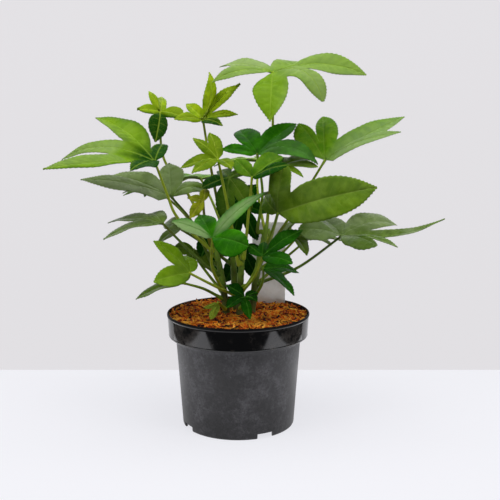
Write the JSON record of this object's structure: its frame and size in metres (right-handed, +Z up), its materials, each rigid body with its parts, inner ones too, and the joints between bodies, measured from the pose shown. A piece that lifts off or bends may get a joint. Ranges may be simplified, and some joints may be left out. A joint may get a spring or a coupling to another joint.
{
  "type": "potted foliage plant",
  "caption": "Japanese aralia (Fatsia japonica) with long-stalked palmate lobed leaves on several canes, growing in a round black nursery pot with a blank label behind the canes.",
  "frame": {"origin": "centre of the pot's underside, on the surface it stands on", "axes": "+Z up along the pot's axis, +X to the right in the plant's front view, -Y towards the viewer"},
  "size_m": [0.5013, 0.3165, 0.4915],
  "materials": {
    "pot_plastic": "black polypropylene, glossy collar, dusty body",
    "potting_soil": "coir and bark chips, loose",
    "label_plastic": "satin",
    "cane_bark": "green-brown bark",
    "leaf": "glossy dark green leaf",
    "young_leaf": "satin bright green young leaf"
  },
  "bodies": {
    "root": {"pot": "pot_plastic", "potting_soil": "potting_soil", "plant_label": "label_plastic", "cane_front": "cane_bark", "cane_right": "cane_bark", "cane_left": "cane_bark", "cane_back": "cane_bark", "cane_back_right": "cane_bark", "leaf_01": "young_leaf", "leaf_02": "leaf", "leaf_03": "young_leaf", "leaf_04": "young_leaf", "leaf_05": "young_leaf", "leaf_06": "leaf", "leaf_07": "leaf", "leaf_08": "leaf", "leaf_09": "leaf", "leaf_10": "leaf", "leaf_11": "leaf", "leaf_12": "leaf", "leaf_13": "leaf", "leaf_14": "leaf", "leaf_15": "leaf", "leaf_16": "young_leaf", "leaf_17": "leaf", "leaf_18": "leaf", "leaf_19": "leaf", "leaf_20": "leaf", "leaf_21": "leaf", "leaf_22": "leaf", "leaf_23": "young_leaf", "leaf_24": "leaf", "leaf_25": "leaf", "leaf_26": "leaf", "leaf_27": "leaf", "leaf_28": "leaf", "leaf_29": "leaf", "leaf_30": "leaf", "leaf_31": "leaf", "leaf_32": "leaf", "leaf_33": "leaf", "leaf_34": "leaf"}
  },
  "joints": []
}
